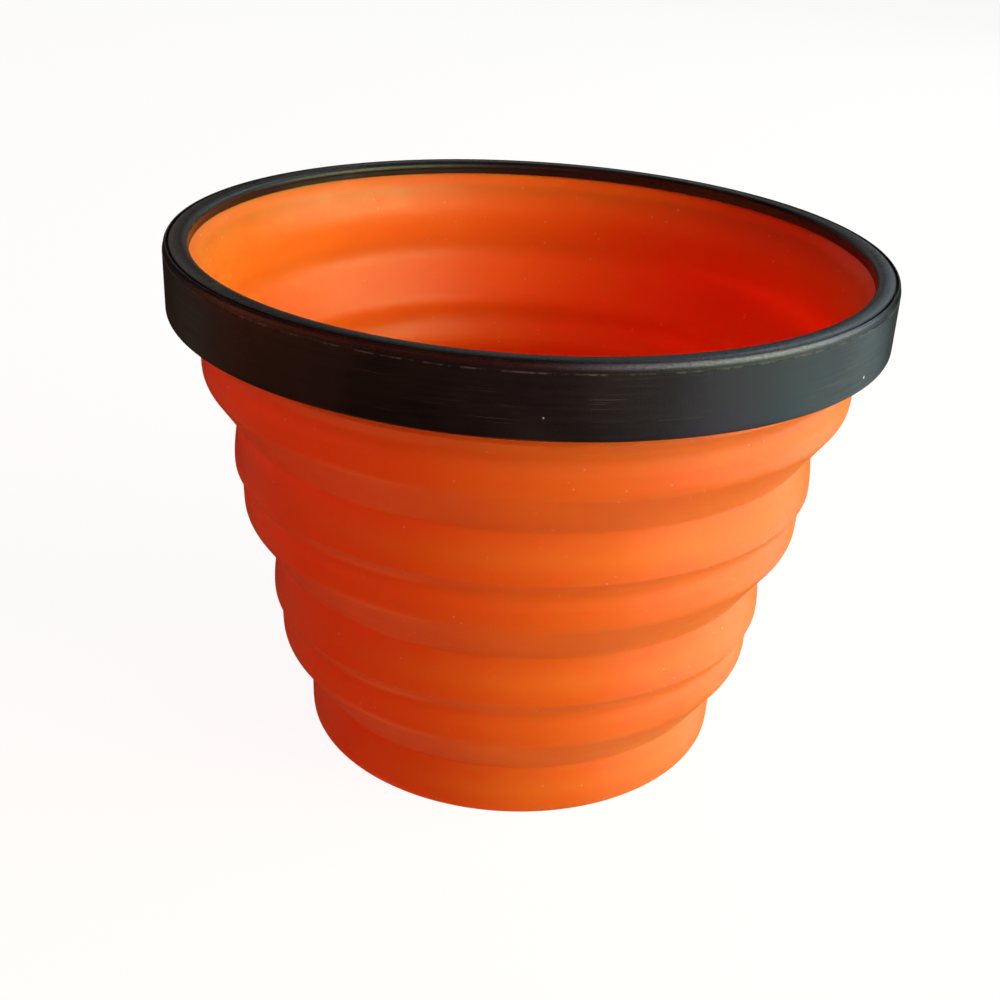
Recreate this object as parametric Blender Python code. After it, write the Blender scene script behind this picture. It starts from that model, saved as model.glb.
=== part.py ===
"""Collapsible travel cup: a stepped silicone body that folds flat, hung from a stiff nylon rim.

Metres, +Z up. The origin is the centre of the base's underside. Every piece is turned about Z.

From the bottom up, the one-piece silicone moulding is divided at its living hinges:
base_cup, fold_web_bottom, wall_ring_lower, fold_web_middle, wall_ring_upper, fold_web_top, collar.
The rim is two rings: rim_band outside the collar and rim_lip on top of it.
Each fold moves straight down the Z axis, so every object keeps its origin on that axis.
"""

import math

import bmesh
import bpy

MM = 0.001

# Turning
STEPS = 48
GAP = 0.3 * MM

# Steps of the body: each step repeats one below the other, smaller by STEP_IN and lower by STEP_DOWN.
BASE_STEP_RADIUS = 29.95 * MM
BASE_STEP_HEIGHT = 7.4 * MM
STEP_IN = 5.1 * MM
STEP_DOWN = 20.25 * MM

# A wall ring, measured from its sharp upper corner: outwards is +, downwards is -.
RING_TOP_PULL = (0.15 * MM, -3.2 * MM)
RING_BOTTOM_PULL = (1.6 * MM, -9.0 * MM)
RING_BOTTOM = (-0.72 * MM, -8.7 * MM)

# A fold web, measured from the same corner. It ends at the next ring's upper corner.
WEB_TOP_PULL = (0.45 * MM, -15.8 * MM)
WEB_BOTTOM_PULL = (-2.4 * MM, -15.2 * MM)
WEB_BOTTOM = (-STEP_IN, -STEP_DOWN)

# Silicone thickness, measured across the axis
RING_WALL = 1.6 * MM
WEB_WALL = 1.25 * MM
BASE_WALL = 1.8 * MM
BASE_FLOOR = 2.2 * MM
BASE_BULGE = 0.35 * MM
BASE_EDGE = 0.5 * MM
BASE_FILLET = 1.6 * MM

# Rim
RIM_TOP = 72.2 * MM
RIM_RADIUS = 49.0 * MM
BAND_DRAFT = 0.1 * MM
BAND_BOTTOM = 63.15 * MM
BAND_EDGE = 0.35 * MM
BAND_SHOULDER = 1.15 * MM
BAND_LEDGE = 68.0 * MM
BEAD_RADIUS = 47.35 * MM
LIP_RADIUS = 45.75 * MM
LIP_FLANGE_RADIUS = 48.2 * MM
LIP_FLANGE_HEIGHT = 1.0 * MM
LIP_HEIGHT = 1.55 * MM
LIP_CROWN = 0.2 * MM
LIP_CROWN_RADIUS = 46.9 * MM
LIP_EDGE = 0.85 * MM

# Points along each round stretch
CURVE_POINTS = 6
EDGE_POINTS = 3

SILICONE_COLOUR = (0.80, 0.11, 0.014, 1.0)
NYLON_COLOUR = (0.012, 0.012, 0.014, 1.0)


def clear_scene():
    for obj in list(bpy.data.objects):
        bpy.data.objects.remove(obj, do_unlink=True)


def material(name, colour, roughness):
    made = bpy.data.materials.new(name)
    made.use_nodes = True
    shader = made.node_tree.nodes["Principled BSDF"]
    shader.inputs["Base Color"].default_value = colour
    shader.inputs["Roughness"].default_value = roughness
    shader.inputs["Metallic"].default_value = 0.0
    return made


def bezier(start, pull_start, pull_end, end, points=CURVE_POINTS):
    """Points along a cubic curve, both ends included."""
    made = []
    for i in range(points):
        t = i / (points - 1)
        weights = ((1 - t) ** 3, 3 * t * (1 - t) ** 2, 3 * t * t * (1 - t), t**3)
        ends = (start, pull_start, pull_end, end)
        made.append(tuple(sum(w * p[k] for w, p in zip(weights, ends)) for k in (0, 1)))
    return made


def arc(centre, radius, start_degrees, end_degrees, points=EDGE_POINTS):
    """Points along an arc, both ends included. 0 degrees points outwards and 90 points up."""
    made = []
    for i in range(points):
        angle = math.radians(start_degrees + (end_degrees - start_degrees) * i / (points - 1))
        made.append((centre[0] + radius * math.cos(angle), centre[1] + radius * math.sin(angle)))
    return made


def from_corner(corner, offset):
    return (corner[0] + offset[0], corner[1] + offset[1])


def step_corner(step):
    """The sharp upper corner of the ring on a step, counted up from the base at 0."""
    return (BASE_STEP_RADIUS + step * STEP_IN, BASE_STEP_HEIGHT + step * STEP_DOWN)


def ring_curve(corner):
    """Outside of a wall ring, from its upper corner down."""
    return bezier(
        corner,
        from_corner(corner, RING_TOP_PULL),
        from_corner(corner, RING_BOTTOM_PULL),
        from_corner(corner, RING_BOTTOM),
    )


def web_curve(corner):
    """Outside of the web that hangs under the ring with this upper corner, from the top down."""
    return bezier(
        from_corner(corner, RING_BOTTOM),
        from_corner(corner, WEB_TOP_PULL),
        from_corner(corner, WEB_BOTTOM_PULL),
        from_corner(corner, WEB_BOTTOM),
    )


def trimmed(curve, top_gap, bottom_gap):
    """The curve with its first point lowered and its last point raised, each kept on the curve's line."""
    first = toward(curve[0], curve[1], top_gap)
    last = toward(curve[-1], curve[-2], bottom_gap)
    return [first, *curve[1:-1], last]


def toward(point, neighbour, height):
    """The point on the line from point to neighbour that lies this far from point in Z."""
    share = height / abs(neighbour[1] - point[1])
    return tuple(p + (n - p) * share for p, n in zip(point, neighbour))


def wall_section(curve, thickness):
    """A closed section: down the outside, then up the inside, moved in by the thickness."""
    return curve + [(r - thickness, z) for r, z in reversed(curve)]


def turned(name, section, finish):
    """One closed solid of revolution. The section runs down its outer side."""
    mesh = bpy.data.meshes.new(name)
    builder = bmesh.new()
    corners = [builder.verts.new((r, 0.0, z)) for r, z in section]
    on_axis = section[0][0] < GAP
    edges = [builder.edges.new(pair) for pair in zip(corners, corners[1:])]
    if not on_axis:
        edges.append(builder.edges.new((corners[-1], corners[0])))
    builder.to_mesh(mesh)
    builder.free()
    obj = bpy.data.objects.new(name, mesh)
    bpy.context.scene.collection.objects.link(obj)
    screw = obj.modifiers.new("turn", "SCREW")
    screw.steps = STEPS
    screw.render_steps = STEPS
    screw.use_merge_vertices = True
    screw.merge_threshold = 0.01 * MM
    screw.use_smooth_shade = True
    mesh.materials.append(finish)
    return obj


def wall_ring(name, step, finish):
    curve = trimmed(ring_curve(step_corner(step)), GAP / 2, GAP / 2)
    return turned(name, wall_section(curve, RING_WALL), finish)


def fold_web(name, step, finish):
    """The web between the ring on this step and the step below it."""
    curve = trimmed(web_curve(step_corner(step)), GAP / 2, GAP / 2)
    return turned(name, wall_section(curve, WEB_WALL), finish)


def base_cup(finish):
    """The bottom of the cup: an upright wall, a rounded foot and a flat floor."""
    radius, top = step_corner(0)
    top -= GAP / 2
    inside = radius - BASE_WALL
    wall = bezier(
        (radius, top),
        (radius + BASE_BULGE, top - BASE_EDGE),
        (radius + BASE_BULGE, 2 * BASE_EDGE),
        (radius + BASE_BULGE / 2, BASE_EDGE),
        points=4,
    )
    foot = arc((radius + BASE_BULGE / 2 - BASE_EDGE, BASE_EDGE), BASE_EDGE, 0, -90, points=4)
    fillet = arc((inside - BASE_FILLET, BASE_FLOOR + BASE_FILLET), BASE_FILLET, -90, 0, points=4)
    # An axis point at each end makes one closed surface when it is turned.
    section = [*wall, *foot[1:], (0.0, 0.0), (0.0, BASE_FLOOR), *fillet, (inside, top)]
    split = section.index((0.0, BASE_FLOOR))
    return turned("base_cup", section[split:] + section[:split], finish)


def collar(finish):
    """The top of the silicone: a wall inside the band, with a bead that rests on the band's ledge."""
    curve = trimmed(ring_curve(step_corner(3)), GAP, GAP / 2)
    wall_top = RIM_TOP - LIP_HEIGHT - GAP
    ledge = BAND_LEDGE + GAP
    outside = curve[0][0]
    inside = outside - RING_WALL
    inner_wall = [(r - RING_WALL, z) for r, z in reversed(curve)]
    bead = [(BEAD_RADIUS, wall_top), (BEAD_RADIUS, ledge), (outside, ledge)]
    return turned("collar", [*bead, *curve, *inner_wall, (inside, wall_top)], finish)


def rim_band(finish):
    """The outer ring: a nearly upright band with a rounded shoulder.

    Inside it has a rebate for the lip's flange and a ledge under the collar's bead.
    """
    bottom_radius = RIM_RADIUS - BAND_DRAFT
    bead_side = BEAD_RADIUS + GAP
    flange_side = LIP_FLANGE_RADIUS + GAP
    rebate = RIM_TOP - LIP_FLANGE_HEIGHT - GAP
    collar_side = max(r for r, z in ring_curve(step_corner(3))) + GAP
    shoulder = bezier(
        (flange_side, RIM_TOP - LIP_CROWN / 2),
        (RIM_RADIUS - LIP_CROWN, RIM_TOP - LIP_CROWN / 2),
        (RIM_RADIUS, RIM_TOP - BAND_SHOULDER / 2),
        (RIM_RADIUS, RIM_TOP - BAND_SHOULDER),
        points=5,
    )
    edge = arc((bottom_radius - BAND_EDGE, BAND_BOTTOM + BAND_EDGE), BAND_EDGE, 0, -90)
    inside = [
        (collar_side, BAND_BOTTOM),
        (collar_side, BAND_LEDGE),
        (bead_side, BAND_LEDGE),
        (bead_side, rebate),
        (flange_side, rebate),
    ]
    return turned("rim_band", [*shoulder, *edge, *inside], finish)


def rim_lip(finish):
    """The top ring: a flange that caps the collar's cut edge and makes the drinking edge."""
    bottom = RIM_TOP - LIP_HEIGHT
    flange_bottom = RIM_TOP - LIP_FLANGE_HEIGHT
    crown = (LIP_CROWN_RADIUS, RIM_TOP)
    outer_slope = bezier(
        (LIP_FLANGE_RADIUS, RIM_TOP - LIP_CROWN),
        (LIP_FLANGE_RADIUS - LIP_CROWN, RIM_TOP),
        (LIP_FLANGE_RADIUS - LIP_EDGE, RIM_TOP),
        crown,
        points=4,
    )
    inner_edge = bezier(
        crown,
        (LIP_RADIUS + LIP_EDGE / 2, RIM_TOP),
        (LIP_RADIUS, RIM_TOP - LIP_EDGE / 3),
        (LIP_RADIUS, RIM_TOP - LIP_EDGE),
        points=5,
    )
    underside = [
        (LIP_FLANGE_RADIUS, flange_bottom),
        (BEAD_RADIUS, flange_bottom),
        (BEAD_RADIUS, bottom),
        (LIP_RADIUS, bottom),
    ]
    top_inwards = [*outer_slope, *inner_edge[1:]]
    return turned("rim_lip", [*underside, *reversed(top_inwards)], finish)


def main():
    clear_scene()
    silicone = material("orange_silicone", SILICONE_COLOUR, 0.5)
    nylon = material("black_nylon", NYLON_COLOUR, 0.4)
    base_cup(silicone)
    fold_web("fold_web_bottom", 1, silicone)
    wall_ring("wall_ring_lower", 1, silicone)
    fold_web("fold_web_middle", 2, silicone)
    wall_ring("wall_ring_upper", 2, silicone)
    fold_web("fold_web_top", 3, silicone)
    collar(silicone)
    rim_band(nylon)
    rim_lip(nylon)


main()
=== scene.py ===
import math

import bpy
import numpy as np
from mathutils import Euler, Matrix, Vector


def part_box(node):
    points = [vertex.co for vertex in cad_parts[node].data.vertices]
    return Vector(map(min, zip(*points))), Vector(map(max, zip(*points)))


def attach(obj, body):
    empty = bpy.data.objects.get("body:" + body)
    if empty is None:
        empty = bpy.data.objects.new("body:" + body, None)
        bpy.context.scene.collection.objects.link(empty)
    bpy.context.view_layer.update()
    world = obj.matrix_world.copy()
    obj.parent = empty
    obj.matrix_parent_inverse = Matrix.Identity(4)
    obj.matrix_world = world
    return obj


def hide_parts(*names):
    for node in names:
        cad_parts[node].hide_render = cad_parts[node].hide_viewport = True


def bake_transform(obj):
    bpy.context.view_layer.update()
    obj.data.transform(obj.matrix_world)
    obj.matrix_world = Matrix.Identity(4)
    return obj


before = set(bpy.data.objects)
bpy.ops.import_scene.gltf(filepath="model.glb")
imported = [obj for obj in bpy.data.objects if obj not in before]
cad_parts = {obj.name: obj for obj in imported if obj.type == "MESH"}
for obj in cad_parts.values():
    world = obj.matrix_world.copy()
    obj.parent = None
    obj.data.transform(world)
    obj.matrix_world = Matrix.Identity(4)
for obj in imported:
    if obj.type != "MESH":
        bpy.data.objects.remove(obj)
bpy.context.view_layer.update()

MM = 0.001

# ---------------------------------------------------------------- sizes, in millimetres
GAP = 0.3
STEP_RADII = (29.95, 35.05, 40.15, 45.25)

# Outside of a step, measured from its sharp upper corner: outwards is +, downwards is -.
RING_TOP_PULL = (0.15, -3.2)
RING_BOTTOM_PULL = (1.6, -9.0)
RING_BOTTOM = (-0.8, -8.72)
WEB_TOP = (-0.45, -10.4)
WEB_EDGE = (-0.62, -13.75)
WEB_ROUND = 0.9
CORNER_ROUND = 0.4
CREASE_ROUND = 2.0

# Inside of a step, measured from the same corner: a thin hinge, a shoulder, a crease and a thick web.
# The top step's shoulder is thinner.
INNER_HINGE = (-0.75, 0.0)
INNER_SHOULDER = (-2.5, -3.65)
TOP_SHOULDER = (-1.7, -3.65)
INNER_CREASE = (-1.6, -10.2)
INNER_WEB = (-6.0, -17.6)
INNER_ROUND = 1.6

# The collar: its inside starts a little behind the lip, and the rim holds the bead on its outside.
COLLAR_INSIDE = 46.0
COLLAR_STEP = (-0.25, 0.75)
BEAD_RADIUS = 47.35
BEAD_CHAMFER = 0.3
BEAD_LEDGE = 68.3

# The base
BASE_BULGE = 0.35
BASE_EDGE = 0.5
BASE_FOOT = 3.0
BASE_FLOOR = 2.2
BASE_FILLET = 1.6

# The silicone is cut into pieces this far under each deep corner, in the thick part of the wall below.
# Near a cut, over the fade, light stops scattering through the wall.
CUT_DROP = 3.65
CUT_FADE = 2.4

# The band. Its shoulder is measured from its radius and the top of the rim, and the parting edge from
# its radius and the parting line. The wall under them leans in by the draft.
BAND_RADIUS = 49.0
BAND_SHOULDER = ((-0.5, -0.18), (-0.42, 0.02), (-0.1, -0.35), (-0.1, -0.8))
PARTING_DROP = 1.2
PARTING_EDGE = ((-0.1, 0.14), (-0.07, 0.06), (0.0, 0.02), (0.0, -0.1))
PARTING_REACH = 0.09
WALL_DROP = 0.3
BAND_DRAFT = 0.1
BAND_EDGE = 0.35
BAND_INSIDE = 45.85
BAND_LEDGE = 68.0
BAND_BEAD_SIDE = 47.65
BAND_FLANGE_SIDE = 48.5
BAND_REBATE = 1.3
BAND_SHOULDER_FOOT = 0.6

# The lip. Its outer slope is measured from the flange, its inner edge from the lip, and both from the top.
LIP_RADIUS = 45.75
LIP_CROWN_RADIUS = 46.9
LIP_FLANGE_RADIUS = 48.2
LIP_HEIGHT = 1.8
LIP_FLANGE_HEIGHT = 1.0
LIP_OUTER_SLOPE = ((0.0, -0.22), (-0.12, -0.02), (-0.85, 0.0))
LIP_INNER_EDGE = ((0.42, 0.0), (0.0, -0.28), (0.0, -0.85))

# How finely the shapes are divided
SEGMENTS = 192
RING_POINTS = 22
BASE_POINTS = 20
EDGE_POINTS = 10
FILLET_POINTS = 8
ROUND_POINTS = 6
WALL_ROWS = 12
SPACING = 0.5

SHARP = math.radians(32)
SAME_POINT = 0.001
ON_AXIS = 1e-6


def top_of(node):
    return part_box(node)[1].z / MM


def bottom_of(node):
    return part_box(node)[0].z / MM


# Heights come from the CAD: the nodes meet at each corner with half a gap above and below it.
HALF_GAP = GAP / 2
DEEP = [
    (STEP_RADII[0], top_of("base_cup") + HALF_GAP),
    (STEP_RADII[1], top_of("wall_ring_lower") + HALF_GAP),
    (STEP_RADII[2], top_of("wall_ring_upper") + HALF_GAP),
]
DEEP.append((STEP_RADII[3], DEEP[2][1] + DEEP[2][1] - DEEP[1][1]))
RIM_TOP = top_of("rim_lip")
BAND_BOTTOM = bottom_of("rim_band")
COLLAR_TOP = top_of("collar")


# ---------------------------------------------------------------- section curves
def bezier(start, pull_start, pull_end, end, points):
    knots = (start, pull_start, pull_end, end)
    made = []
    for i in range(points):
        t = i / (points - 1)
        weights = ((1 - t) ** 3, 3 * t * (1 - t) ** 2, 3 * t * t * (1 - t), t**3)
        made.append(tuple(sum(w * p[k] for w, p in zip(weights, knots)) for k in (0, 1)))
    return made


def arc(centre, radius, start_degrees, end_degrees, points=ROUND_POINTS):
    made = []
    for i in range(points):
        angle = math.radians(start_degrees + (end_degrees - start_degrees) * i / (points - 1))
        made.append((centre[0] + radius * math.cos(angle), centre[1] + radius * math.sin(angle)))
    return made


def at(corner, offset):
    return (corner[0] + offset[0], corner[1] + offset[1])


def rounded(knots, radius):
    """A path through the knots: straight stretches, and each knot between the ends rounded."""
    made = [knots[0]]
    for before, knot, after in zip(knots, knots[1:], knots[2:]):
        reach = min(radius, math.dist(before, knot) / 2, math.dist(knot, after) / 2)
        start = along(knot, before, reach)
        end = along(knot, after, reach)
        straight(made, start)
        for i in range(1, ROUND_POINTS + 1):
            t = i / ROUND_POINTS
            weights = ((1 - t) ** 2, 2 * t * (1 - t), t * t)
            made.append(tuple(sum(w * p[k] for w, p in zip(weights, (start, knot, end))) for k in (0, 1)))
    straight(made, knots[-1])
    return made


def along(point, other, reach):
    share = reach / math.dist(point, other)
    return tuple(p + (q - p) * share for p, q in zip(point, other))


def straight(path, end):
    """Adds evenly spaced points to the path, up to the end. It adds none where the path is already there."""
    start = path[-1]
    if math.dist(start, end) < SAME_POINT:
        return
    count = max(1, round(math.dist(start, end) / SPACING))
    path.extend(tuple(p + (q - p) * i / count for p, q in zip(start, end)) for i in range(1, count + 1))


# ---------------------------------------------------------------- meshes
def turned(name, section, finish, marks=None):
    """One closed skin of revolution from (r, z) in millimetres, down the outside and up the inside.

    Each point keeps its place at rest, for the textures, and a mark from 0 to 1, for the finish."""
    angles = np.arange(SEGMENTS) * (2 * math.pi / SEGMENTS)
    cos, sin = np.cos(angles), np.sin(angles)
    points, rows = [], []
    for r, z in section:
        if r < ON_AXIS:
            rows.append([len(points)] * SEGMENTS)
            points.append((0.0, 0.0, z))
        else:
            rows.append(list(range(len(points), len(points) + SEGMENTS)))
            points.extend((r * c, r * s, z) for c, s in zip(cos, sin))
    faces = []
    for upper, lower in zip(rows, rows[1:] + rows[:1]):
        if upper[0] == upper[1] and lower[0] == lower[1]:
            continue
        for j in range(SEGMENTS):
            k = (j + 1) % SEGMENTS
            face = tuple(dict.fromkeys((upper[j], lower[j], lower[k], upper[k])))
            if len(face) > 2:
                faces.append(face)
    mesh = bpy.data.meshes.new(name)
    mesh.from_pydata([tuple(MM * v for v in p) for p in points], [], faces)
    mesh.shade_smooth()
    mesh.set_sharp_from_angle(angle=SHARP)
    rest = mesh.attributes.new("rest_at", "FLOAT_VECTOR", "POINT")
    rest.data.foreach_set("vector", np.array(points, np.float32).ravel())
    values = []
    for (r, z), row in zip(section, rows):
        value = marks(r, z) if marks else 0.0
        values.extend([value] * (1 if r < ON_AXIS else SEGMENTS))
    mark = mesh.attributes.new("mark", "FLOAT", "POINT")
    mark.data.foreach_set("value", np.array(values, np.float32))
    mesh.materials.append(finish)
    obj = bpy.data.objects.new(name, mesh)
    bpy.context.scene.collection.objects.link(obj)
    return obj


def outside_of(corner, bottom):
    """A wall ring and the fold web under it, from the corner down to the next one."""
    pulls = [at(corner, offset) for offset in (RING_TOP_PULL, RING_BOTTOM_PULL, RING_BOTTOM)]
    ring = bezier(corner, *pulls, RING_POINTS)
    web = rounded([*(at(corner, offset) for offset in (RING_BOTTOM, WEB_TOP, WEB_EDGE)), bottom], WEB_ROUND)
    return ring + web[1:]


def eased(path, corner, reach):
    """Rounds the path where it turns at the corner."""
    first = last = min(range(len(path)), key=lambda i: math.dist(path[i], corner))
    while math.dist(path[first], corner) < reach:
        first -= 1
    while math.dist(path[last], corner) < reach:
        last += 1
    return path[: first + 1] + rounded([path[first], corner, path[last]], reach)[1:-1] + path[last:]


def silicone_outside():
    """The whole outer side, from the top of the collar down to the foot."""
    path = [
        (BEAD_RADIUS - BEAD_CHAMFER, COLLAR_TOP),
        (BEAD_RADIUS, COLLAR_TOP - BEAD_CHAMFER),
        (BEAD_RADIUS, BEAD_LEDGE),
        (DEEP[3][0], BEAD_LEDGE),
    ]
    for corner, bottom in zip(DEEP[:0:-1], DEEP[-2::-1]):
        path += outside_of(corner, bottom)[1:]
    radius, top = DEEP[0]
    path += bezier(
        (radius, top),
        (radius + BASE_BULGE, top - BASE_EDGE),
        (radius + BASE_BULGE, 2 * BASE_EDGE),
        (radius + BASE_BULGE / 2, BASE_EDGE),
        BASE_POINTS,
    )[1:]
    path += arc((radius + BASE_BULGE / 2 - BASE_EDGE, BASE_EDGE), BASE_EDGE, 0, -90)[1:]
    for corner in DEEP[:3]:
        path = eased(path, corner, CORNER_ROUND)
    for corner in DEEP[1:]:
        path = eased(path, at(corner, RING_BOTTOM), CREASE_ROUND)
    return path + [(radius - BASE_FOOT, 0.0), (radius / 2, 0.0), (0.0, 0.0)]


def silicone_inside():
    """The whole inner side, from the top of the collar down to the middle of the floor."""
    knots = [(COLLAR_INSIDE, COLLAR_TOP), at(DEEP[3], COLLAR_STEP)]
    for corner, bottom in zip(DEEP[:0:-1], DEEP[-2::-1]):
        knots.append(at(corner, TOP_SHOULDER if corner == DEEP[3] else INNER_SHOULDER))
        knots += [at(corner, INNER_CREASE), at(corner, INNER_WEB), at(bottom, INNER_HINGE)]
    foot = at(DEEP[0], INNER_SHOULDER)
    fillet_top = BASE_FLOOR + BASE_FILLET
    path = rounded([*knots, foot, (foot[0], fillet_top)], INNER_ROUND)[:-1]
    path += arc((foot[0] - BASE_FILLET, fillet_top), BASE_FILLET, 0, -90, FILLET_POINTS)
    return path + [(DEEP[0][0] / 2, BASE_FLOOR), (0.0, BASE_FLOOR)]


def cut(path, height):
    """The index of the path's point nearest to this height."""
    return min(range(len(path)), key=lambda i: abs(path[i][1] - height))


def silicone_pieces(finish):
    """The silicone in four skins, from the top down. Each cut is marked for the finish."""
    outside, inside = silicone_outside(), silicone_inside()
    heights = [corner[1] - CUT_DROP for corner in DEEP[2::-1]]
    outer = [0, *(cut(outside, height) for height in heights), len(outside) - 1]
    inner = [0, *(cut(inside, height) for height in heights), len(inside) - 1]

    def near_cut(r, z):
        return max(1.0 - min(1.0, abs(z - height) / CUT_FADE) for height in heights)

    names = ("silicone_step_top", "silicone_step_upper", "silicone_step_lower", "silicone_base")
    made = {}
    for name, a, b, c, d in zip(names, outer, outer[1:], inner, inner[1:]):
        made[name] = turned(name, outside[a : b + 1] + inside[c : d + 1][::-1], finish, near_cut)
    return made


def rim_band(finish):
    parting = RIM_TOP - PARTING_DROP
    rebate = RIM_TOP - BAND_REBATE
    shoulder = bezier(*(at((BAND_RADIUS, RIM_TOP), offset) for offset in BAND_SHOULDER), EDGE_POINTS)
    parting_edge = [at((BAND_RADIUS, parting), offset) for offset in PARTING_EDGE]
    wall_top, wall_bottom = parting - WALL_DROP, BAND_BOTTOM + BAND_EDGE
    wall = [
        (BAND_RADIUS - BAND_DRAFT * i / WALL_ROWS, wall_top - (wall_top - wall_bottom) * i / WALL_ROWS)
        for i in range(WALL_ROWS + 1)
    ]
    edge = arc((BAND_RADIUS - BAND_DRAFT - BAND_EDGE, wall_bottom), BAND_EDGE, 0, -90)
    inner = [
        (BAND_INSIDE, BAND_BOTTOM),
        (BAND_INSIDE, BAND_LEDGE),
        (BAND_BEAD_SIDE, BAND_LEDGE),
        (BAND_BEAD_SIDE, rebate),
        (BAND_FLANGE_SIDE, rebate),
        (BAND_FLANGE_SIDE, RIM_TOP - BAND_SHOULDER_FOOT),
    ]

    def marks(r, z):
        return 1.0 if abs(z - parting) < PARTING_REACH and r > BAND_RADIUS - PARTING_REACH else 0.0

    return turned("nylon_band", [*shoulder, *parting_edge, *wall, *edge[1:], *inner], finish, marks)


def rim_lip(finish):
    bottom, flange_bottom = RIM_TOP - LIP_HEIGHT, RIM_TOP - LIP_FLANGE_HEIGHT
    crown = (LIP_CROWN_RADIUS, RIM_TOP)
    slope = [at((LIP_FLANGE_RADIUS, RIM_TOP), offset) for offset in LIP_OUTER_SLOPE]
    fall = [at((LIP_RADIUS, RIM_TOP), offset) for offset in LIP_INNER_EDGE]
    top = bezier(*slope, crown, EDGE_POINTS) + bezier(crown, *fall, EDGE_POINTS)[1:]
    underside = [
        (LIP_FLANGE_RADIUS, flange_bottom),
        (BEAD_RADIUS, flange_bottom),
        (BEAD_RADIUS, bottom),
        (LIP_RADIUS, bottom),
    ]
    return turned("nylon_lip", [*underside, *reversed(top)], finish)


# ---------------------------------------------------------------- materials
class Nodes:
    """A short way to write a material's nodes."""

    def __init__(self, name):
        self.material = bpy.data.materials.new(name)
        self.material.use_nodes = True
        self.tree = self.material.node_tree
        self.shader = self.tree.nodes["Principled BSDF"]

    def add(self, kind, **settings):
        node = self.tree.nodes.new(kind)
        for key, value in settings.items():
            setattr(node, key, value)
        return node

    def link(self, source, target):
        self.tree.links.new(source, target)

    def value(self, socket, value):
        """Links another node's output to the socket, or sets a plain value on it."""
        if isinstance(value, bpy.types.NodeSocket):
            self.link(value, socket)
        else:
            socket.default_value = value

    def rest(self):
        return self.add("ShaderNodeAttribute", attribute_name="rest_at").outputs["Vector"]

    def mark(self):
        return self.add("ShaderNodeAttribute", attribute_name="mark").outputs["Fac"]

    def stretch(self, vector, scale):
        node = self.add("ShaderNodeMapping")
        self.link(vector, node.inputs["Vector"])
        node.inputs["Scale"].default_value = scale
        return node.outputs["Vector"]

    def noise(self, vector, scale, detail=2.0, roughness=0.5):
        node = self.add("ShaderNodeTexNoise")
        self.link(vector, node.inputs["Vector"])
        node.inputs["Scale"].default_value = scale
        node.inputs["Detail"].default_value = detail
        node.inputs["Roughness"].default_value = roughness
        return node.outputs["Fac"]

    def cells(self, vector, scale, output="Distance"):
        node = self.add("ShaderNodeTexVoronoi")
        self.link(vector, node.inputs["Vector"])
        node.inputs["Scale"].default_value = scale
        return node.outputs[output]

    def math(self, operation, a, b):
        node = self.add("ShaderNodeMath", operation=operation)
        self.value(node.inputs[0], a)
        self.value(node.inputs[1], b)
        return node.outputs["Value"]

    def span(self, value, low, high, to_low=0.0, to_high=1.0, smooth=False):
        """Maps low to to_low and high to to_high, and holds still beyond them."""
        node = self.add("ShaderNodeMapRange", interpolation_type="SMOOTHSTEP" if smooth else "LINEAR")
        self.value(node.inputs["Value"], value)
        node.inputs["From Min"].default_value = low
        node.inputs["From Max"].default_value = high
        node.inputs["To Min"].default_value = to_low
        node.inputs["To Max"].default_value = to_high
        return node.outputs["Result"]

    def mix(self, share, a, b):
        node = self.add("ShaderNodeMix", data_type="RGBA")
        self.value(node.inputs["Factor"], share)
        self.value(node.inputs["A"], a)
        self.value(node.inputs["B"], b)
        return node.outputs["Result"]

    def height(self, vector):
        node = self.add("ShaderNodeSeparateXYZ")
        self.link(vector, node.inputs["Vector"])
        return node.outputs["Z"]

    def radius(self, vector):
        flat = self.stretch(vector, (1.0, 1.0, 0.0))
        node = self.add("ShaderNodeVectorMath", operation="LENGTH")
        self.link(flat, node.inputs[0])
        return node.outputs["Value"]

    def near(self, vector, azimuth, radius, height, reach, edge):
        """1 within reach of a place on the cup, fading to 0 over the edge. Degrees, then millimetres."""
        turn = math.radians(azimuth)
        node = self.add("ShaderNodeVectorMath", operation="DISTANCE")
        self.link(vector, node.inputs[0])
        node.inputs[1].default_value = (radius * math.cos(turn), radius * math.sin(turn), height)
        return self.span(node.outputs["Value"], reach, reach + edge, 1.0, 0.0, smooth=True)

    def bump(self, height, distance, strength, normal=None):
        node = self.add("ShaderNodeBump")
        node.inputs["Strength"].default_value = strength
        node.inputs["Distance"].default_value = distance
        self.link(height, node.inputs["Height"])
        if normal is not None:
            self.link(normal, node.inputs["Normal"])
        return node.outputs["Normal"]


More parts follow.
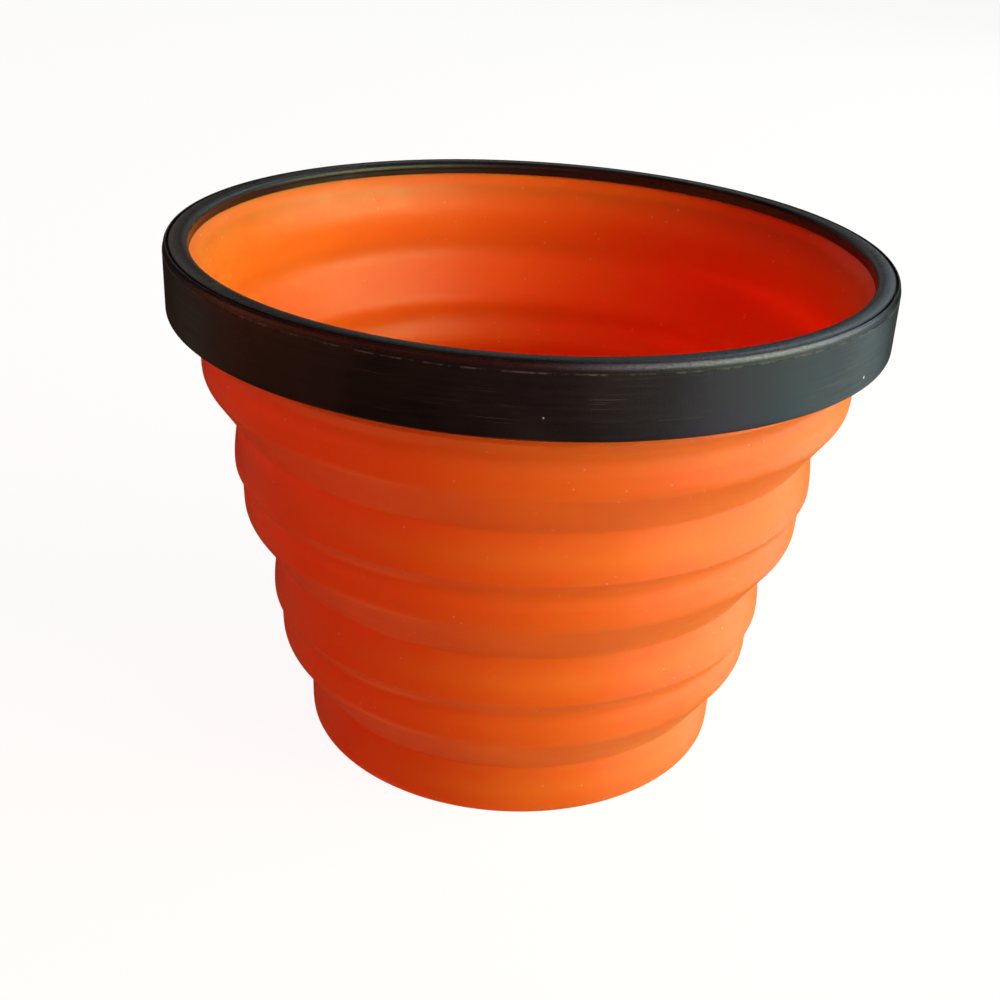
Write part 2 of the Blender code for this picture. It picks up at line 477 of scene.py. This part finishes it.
def silicone_material():
    n = Nodes("orange_silicone")
    rest = n.rest()
    base = (0.88, 0.176, 0.0105, 1.0)
    pale = (0.90, 0.192, 0.0135, 1.0)
    deep = (0.86, 0.160, 0.0085, 1.0)
    dusty = (0.95, 0.62, 0.44, 1.0)
    clouds = n.noise(rest, scale=0.06, detail=3.0, roughness=0.55)
    colour = n.mix(n.span(clouds, 0.35, 0.65, smooth=True), deep, pale)
    colour = n.mix(0.5, base, colour)
    # Dust: pale specks in drifts.
    drifts = n.span(n.noise(rest, scale=0.11), 0.48, 0.58, smooth=True)
    specks_per_mm = 0.75
    specks = n.span(n.cells(rest, specks_per_mm), 0.08, 0.14, 1.0, 0.0)
    sizes = n.span(n.cells(rest, specks_per_mm, output="Color"), 0.5, 0.7)
    dust = n.math("MULTIPLY", n.math("MULTIPLY", specks, drifts), sizes)
    colour = n.mix(n.math("MULTIPLY", dust, 0.6), colour, dusty)
    n.link(colour, n.shader.inputs["Base Color"])
    smears = n.noise(n.stretch(rest, (1.0, 1.0, 3.0)), scale=0.16, detail=4.0, roughness=0.6)
    roughness = n.span(smears, 0.3, 0.7, 0.37, 0.49)
    n.link(roughness, n.shader.inputs["Roughness"])
    grain = n.noise(rest, scale=6.0, detail=3.0, roughness=0.6)
    waves = n.noise(rest, scale=0.35)
    normal = n.bump(grain, distance=0.012 * MM, strength=0.6)
    normal = n.bump(waves, distance=0.05 * MM, strength=0.5, normal=normal)
    normal = n.bump(dust, distance=0.03 * MM, strength=0.7, normal=normal)
    n.link(normal, n.shader.inputs["Normal"])
    # Light scatters through the wall, but not across the cuts between the pieces.
    n.link(n.span(n.mark(), 0.0, 1.0, 1.0, 0.0, smooth=True), n.shader.inputs["Subsurface Weight"])
    n.shader.inputs["Subsurface Radius"].default_value = (1.0, 0.3, 0.1)
    n.shader.inputs["Subsurface Scale"].default_value = 2.6 * MM
    n.shader.inputs["IOR"].default_value = 1.42
    n.shader.inputs["Sheen Weight"].default_value = 0.06
    n.shader.inputs["Sheen Roughness"].default_value = 0.4
    n.shader.subsurface_method = "RANDOM_WALK"
    return n.material


def nylon_material():
    n = Nodes("black_nylon")
    rest = n.rest()
    dark = (0.0035, 0.0036, 0.0040, 1.0)
    smudged = (0.0085, 0.0090, 0.0100, 1.0)
    scratched = (0.10, 0.104, 0.108, 1.0)
    rubbed = (0.13, 0.135, 0.14, 1.0)
    linty = (0.55, 0.55, 0.56, 1.0)
    # The last colour is a painted highlight for the band's shoulder, not a scuff.
    painted_highlight_colour = (0.11, 0.13, 0.27, 1.0)
    smudges = n.noise(rest, scale=0.09, detail=4.0, roughness=0.6)
    streaks = n.noise(n.stretch(rest, (0.06, 0.06, 2.2)), scale=1.0, detail=5.0, roughness=0.65)
    colour = n.mix(n.span(smudges, 0.35, 0.7), dark, smudged)
    # Fine scratches that run round the rim, and a scuffed patch low on one side of the band.
    lines = n.noise(n.stretch(rest, (0.045, 0.045, 9.0)), scale=1.0, detail=3.0, roughness=0.7)
    where = n.span(n.noise(rest, scale=0.12), 0.5, 0.62, smooth=True)
    scuffed = n.near(rest, azimuth=322.0, radius=48.9, height=65.0, reach=3.0, edge=10.0)
    where = n.math("MAXIMUM", where, scuffed)
    level = n.math("ADD", lines, n.math("MULTIPLY", scuffed, 0.05))
    scratches = n.math("MULTIPLY", n.span(level, 0.64, 0.70), where)
    colour = n.mix(n.math("MULTIPLY", scratches, 0.3), colour, scratched)
    # The parting line is paler where the mould's flash has been rubbed.
    broken = n.span(n.noise(rest, scale=0.5, detail=4.0, roughness=0.7), 0.46, 0.62)
    flash = n.math("MULTIPLY", n.mark(), broken)
    colour = n.mix(n.math("MULTIPLY", flash, 0.7), colour, rubbed)
    # Lint: a few pale specks, and one on the front.
    specks_per_mm = 0.22
    specks = n.span(n.cells(rest, specks_per_mm), 0.035, 0.05, 1.0, 0.0)
    kept = n.span(n.cells(rest, specks_per_mm, output="Color"), 0.72, 0.74)
    lint = n.math("MULTIPLY", specks, kept)
    front_speck = n.near(rest, azimuth=272.0, radius=48.9, height=66.0, reach=0.06, edge=0.08)
    lint = n.math("MAXIMUM", lint, front_speck)
    colour = n.mix(lint, colour, linty)
    # The shoulder is shinier and scraped. On one side of the front it carries a pale bluish painted
    # highlight, broken up by the scrapes.
    worn = n.span(n.height(rest), RIM_TOP - 1.15, RIM_TOP - 0.9)
    scrapes = n.noise(n.stretch(rest, (1.2, 1.2, 3.0)), scale=1.6, detail=4.0, roughness=0.75)
    scraped = n.math("MULTIPLY", scrapes, worn)
    top = n.span(n.height(rest), RIM_TOP - 0.85, RIM_TOP - 0.45, smooth=True)
    # Painted highlight: the upper shoulder at the front right is mixed towards a pale bluish grey where the
    # scrapes are strong.
    highlight_patch = n.near(rest, azimuth=304.0, radius=48.8, height=RIM_TOP, reach=9.0, edge=22.0)
    highlight_area = n.math("MULTIPLY", highlight_patch, top)
    painted_highlight_mask = n.math("MULTIPLY", n.span(scraped, 0.3, 0.62, 0.3, 1.0), highlight_area)
    on_band = n.span(n.radius(rest), 48.0, 48.35)
    colour = n.mix(n.math("MULTIPLY", painted_highlight_mask, on_band), colour, painted_highlight_colour)
    n.link(colour, n.shader.inputs["Base Color"])
    roughness = n.span(streaks, 0.3, 0.7, 0.32, 0.44)
    roughness = n.math("ADD", roughness, n.span(smudges, 0.3, 0.7, -0.03, 0.05))
    roughness = n.math("SUBTRACT", roughness, n.math("MULTIPLY", worn, 0.10))
    n.link(roughness, n.shader.inputs["Roughness"])
    grain = n.noise(rest, scale=4.0, detail=3.0, roughness=0.65)
    normal = n.bump(grain, distance=0.02 * MM, strength=0.5)
    normal = n.bump(scraped, distance=0.10 * MM, strength=0.6, normal=normal)
    normal = n.bump(streaks, distance=0.02 * MM, strength=0.4, normal=normal)
    normal = n.bump(scratches, distance=0.02 * MM, strength=0.6, normal=normal)
    n.link(normal, n.shader.inputs["Normal"])
    n.shader.inputs["IOR"].default_value = 1.45
    return n.material


def floor_material():
    n = Nodes("pale_floor")
    n.shader.inputs["Base Color"].default_value = (0.12, 0.12, 0.12, 1.0)
    n.shader.inputs["Roughness"].default_value = 0.8
    n.shader.inputs["Specular IOR Level"].default_value = 0.0
    n.shader.inputs["Emission Color"].default_value = (1.0, 1.0, 1.0, 1.0)
    n.shader.inputs["Emission Strength"].default_value = 0.93
    return n.material


# ---------------------------------------------------------------- the cup
silicone = silicone_material()
nylon = nylon_material()

silicone_piece = silicone_pieces(silicone)

base = silicone_piece["silicone_base"]
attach(base, "base")
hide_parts("base_cup")

STEPS = (
    ("silicone_step_lower", 1, "base", "lower_ring", ("wall_ring_lower", "fold_web_bottom")),
    ("silicone_step_upper", 2, "lower_ring", "upper_ring", ("wall_ring_upper", "fold_web_middle")),
    ("silicone_step_top", 3, "upper_ring", "rim", ("collar", "fold_web_top")),
)
for name, step, below, above, nodes in STEPS:
    piece = silicone_piece[name]
    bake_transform(piece)
    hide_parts(*nodes)

for piece, node in ((rim_band(nylon), "rim_band"), (rim_lip(nylon), "rim_lip")):
    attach(piece, "rim")
    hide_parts(node)

# ---------------------------------------------------------------- floor, camera and light
# The sizes and places from here on are in metres.
FLOOR_SIDE = 3.0
FLOOR_DROP = 0.00005
FLOOR_CORNERS = ((-1, -1), (1, -1), (1, 1), (-1, 1))

floor_mesh = bpy.data.meshes.new("floor")
floor_points = [(x * FLOOR_SIDE, y * FLOOR_SIDE, -FLOOR_DROP) for x, y in FLOOR_CORNERS]
floor_mesh.from_pydata(floor_points, [], [(0, 1, 2, 3)])
floor_mesh.materials.append(floor_material())
floor = bpy.data.objects.new("floor", floor_mesh)
bpy.context.scene.collection.objects.link(floor)
# The floor shows itself and the cup's shadow. It throws no light on the cup, and lets the low panels through.
floor.visible_diffuse = False
floor.visible_glossy = False
floor.visible_shadow = False

# The camera's place, angles, lens and shift come from a fit to the photo's circles.
CAMERA_PLACE = Vector((0.0, -0.18630, 0.12285))
CAMERA_DEGREES = (67.435, -4.0117, -1.0104)

camera_data = bpy.data.cameras.new("camera")
camera_data.sensor_width = 36.0
camera_data.lens = 50.69
camera_data.shift_x = -0.0879
camera_data.shift_y = -0.0781
camera_data.clip_start = 0.01
camera_data.clip_end = 20.0
camera = bpy.data.objects.new("camera", camera_data)
turned_by = Euler([math.radians(angle) for angle in CAMERA_DEGREES])
camera.matrix_world = Matrix.LocRotScale(CAMERA_PLACE, turned_by, None)
bpy.context.scene.collection.objects.link(camera)
bpy.context.scene.camera = camera

# Panels round the cup: azimuth and elevation in degrees, then how bright each is in red, green and blue.
# A solver outside this script fitted these to the photo, and some were changed or added by hand afterwards.
PANEL_SIDE = 0.42
PANEL_LEAST = 0.2
PANEL_DISTANCE = 1.0
LIGHT_TARGET = Vector((0.0, 0.0, 0.04))
PANELS = (
    (345, 20, (5.4, 5.2, 2.2)),
    (330, 20, (4.2, 5.2, 2.0)),
    (0, 20, (3.8, 3.8, 2.2)),
    (60, 40, (1.8, 2.4, 3.0)),
    (270, -60, (3.2, 0.6, 0.3)),
    (0, 40, (3.0, 2.1, 1.2)),
    (330, 40, (2.6, 1.6, 1.6)),
    (0, -60, (2.9, 1.5, 0.9)),
    (345, 0, (1.8, 2.2, 1.5)),
    (315, 20, (2.2, 2.9, 1.7)),
    (0, 0, (1.8, 1.6, 1.6)),
    (180, -60, (3.8, 1.0, 0.3)),
    (330, 0, (0.9, 2.5, 1.4)),
    (15, 20, (0.9, 2.1, 1.8)),
    (0, -25, (1.0, 1.7, 2.0)),
    (330, -25, (1.5, 1.0, 1.8)),
    (30, -25, (1.1, 1.5, 1.6)),
    (0, -90, (2.9, 0.6, 0.0)),
    (270, 40, (2.6, 0.1, 0.0)),
    (300, 0, (1.3, 0.6, 0.7)),
    (240, 40, (1.8, 0.0, 0.0)),
    (205, 40, (2.6, 0.0, 0.0)),
    (210, 0, (1.3, 0.5, 0.25)),
    (180, 0, (2.0, 0.45, 0.2)),
    (270, 0, (1.1, 0.3, 0.4)),
    (150, -25, (0.12, 0.12, 0.08)),
    (60, 20, (0.5, 0.55, 0.55)),
    (90, 20, (0.3, 0.3, 0.28)),
    (120, 20, (0.35, 0.3, 0.27)),
    (300, 40, (0.8, 0.0, 0.1)),
)


def softbox(azimuth, elevation, radiance):
    """An area light aimed at the cup. Azimuth 0 is on the +X side and 90 behind."""
    turn, rise = math.radians(azimuth), math.radians(elevation)
    away = Vector((math.cos(turn) * math.cos(rise), math.sin(turn) * math.cos(rise), math.sin(rise)))
    data = bpy.data.lights.new("softbox", "AREA")
    data.shape = "RECTANGLE"
    data.size = max(PANEL_SIDE * math.cos(rise), PANEL_LEAST)
    data.size_y = PANEL_SIDE
    strongest = max(radiance)
    data.energy = math.pi * data.size * data.size_y * strongest
    data.color = [value / strongest for value in radiance]
    obj = bpy.data.objects.new("softbox", data)
    obj.location = LIGHT_TARGET + away * PANEL_DISTANCE
    obj.rotation_mode = "QUATERNION"
    obj.rotation_quaternion = away.to_track_quat("Z", "Y")
    obj.visible_camera = False
    bpy.context.scene.collection.objects.link(obj)


for azimuth, elevation, radiance in PANELS:
    softbox(azimuth, elevation, radiance)

# The world is white to the camera and nearly dark to everything else.
AMBIENT = 0.02

world = bpy.data.worlds.new("world")
world.use_nodes = True
bpy.context.scene.world = world
tree = world.node_tree
background = tree.nodes["Background"]
background.inputs["Color"].default_value = (1.0, 1.0, 1.0, 1.0)
light_path = tree.nodes.new("ShaderNodeLightPath")
seen = tree.nodes.new("ShaderNodeMapRange")
seen.inputs["To Min"].default_value = AMBIENT
seen.inputs["To Max"].default_value = 1.0
tree.links.new(light_path.outputs["Is Camera Ray"], seen.inputs["Value"])
tree.links.new(seen.outputs["Result"], background.inputs["Strength"])

bpy.context.scene.view_settings.view_transform = "Standard"
bpy.context.scene.view_settings.look = "None"
